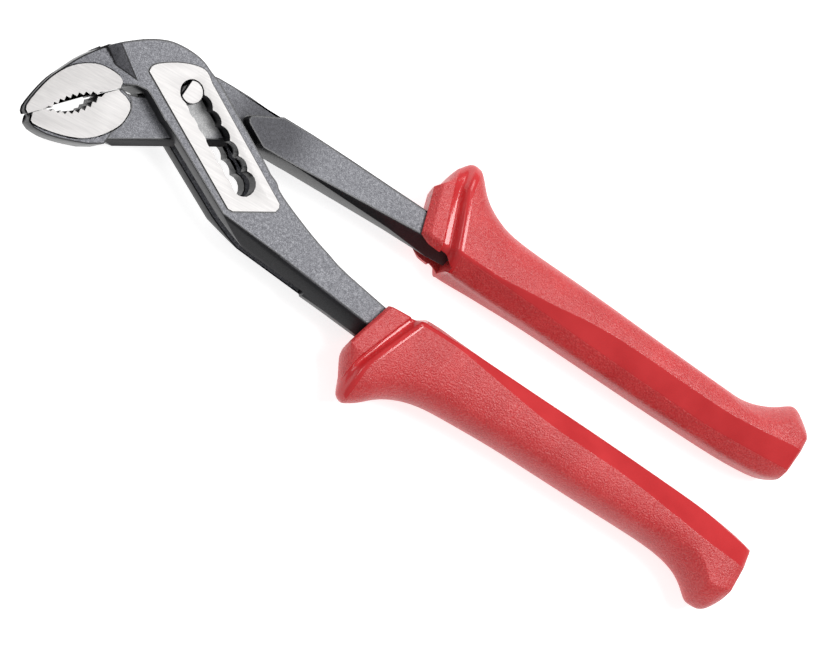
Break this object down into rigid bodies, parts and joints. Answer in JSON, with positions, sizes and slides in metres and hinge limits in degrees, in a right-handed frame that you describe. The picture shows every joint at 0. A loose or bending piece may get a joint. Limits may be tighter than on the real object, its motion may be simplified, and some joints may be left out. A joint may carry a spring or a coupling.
{
  "type": "tongue and groove pliers",
  "caption": "Slip-joint pliers with offset toothed jaws, a box joint whose flatted pivot pin seats along a scalloped slot, and two moulded grips with finger guards.",
  "frame": {"origin": "centre of the base: the middle of the outline in plan, on the plane that the grips' rear flats rest on", "axes": "+X from the jaws to the ends of the handles, +Y towards the upper handle, +Z out of the front face, along the pivot pin"},
  "size_m": [0.2516, 0.0788, 0.019],
  "materials": {
    "forged_steel": "grey phosphated forging with ground bright faces round the slot and on the jaws",
    "ground_steel": "ground bright",
    "red_moulding": "fine grain on the broad faces, glossy on the edges and facets"
  },
  "bodies": {
    "outer_handle": {"slotted_half": "forged_steel", "lower_grip": "red_moulding"},
    "pivot": {"pin_core": "ground_steel"},
    "inner_handle": {"inner_half": "forged_steel", "upper_grip": "red_moulding", "front_pin_head": "ground_steel", "rear_pin_head": "ground_steel"}
  },
  "joints": [
    {"name": "seat_slide", "type": "slide", "parent": "outer_handle", "child": "pivot", "axis": [0.8536, -0.521, 0], "range_m": [0, 0.0297]},
    {"name": "handle_hinge", "type": "hinge", "parent": "pivot", "child": "inner_handle", "pos_m": [-0.08465, 0.01497, 0.0095], "axis": [0, 0, 1], "range_deg": [0, 66]}
  ]
}
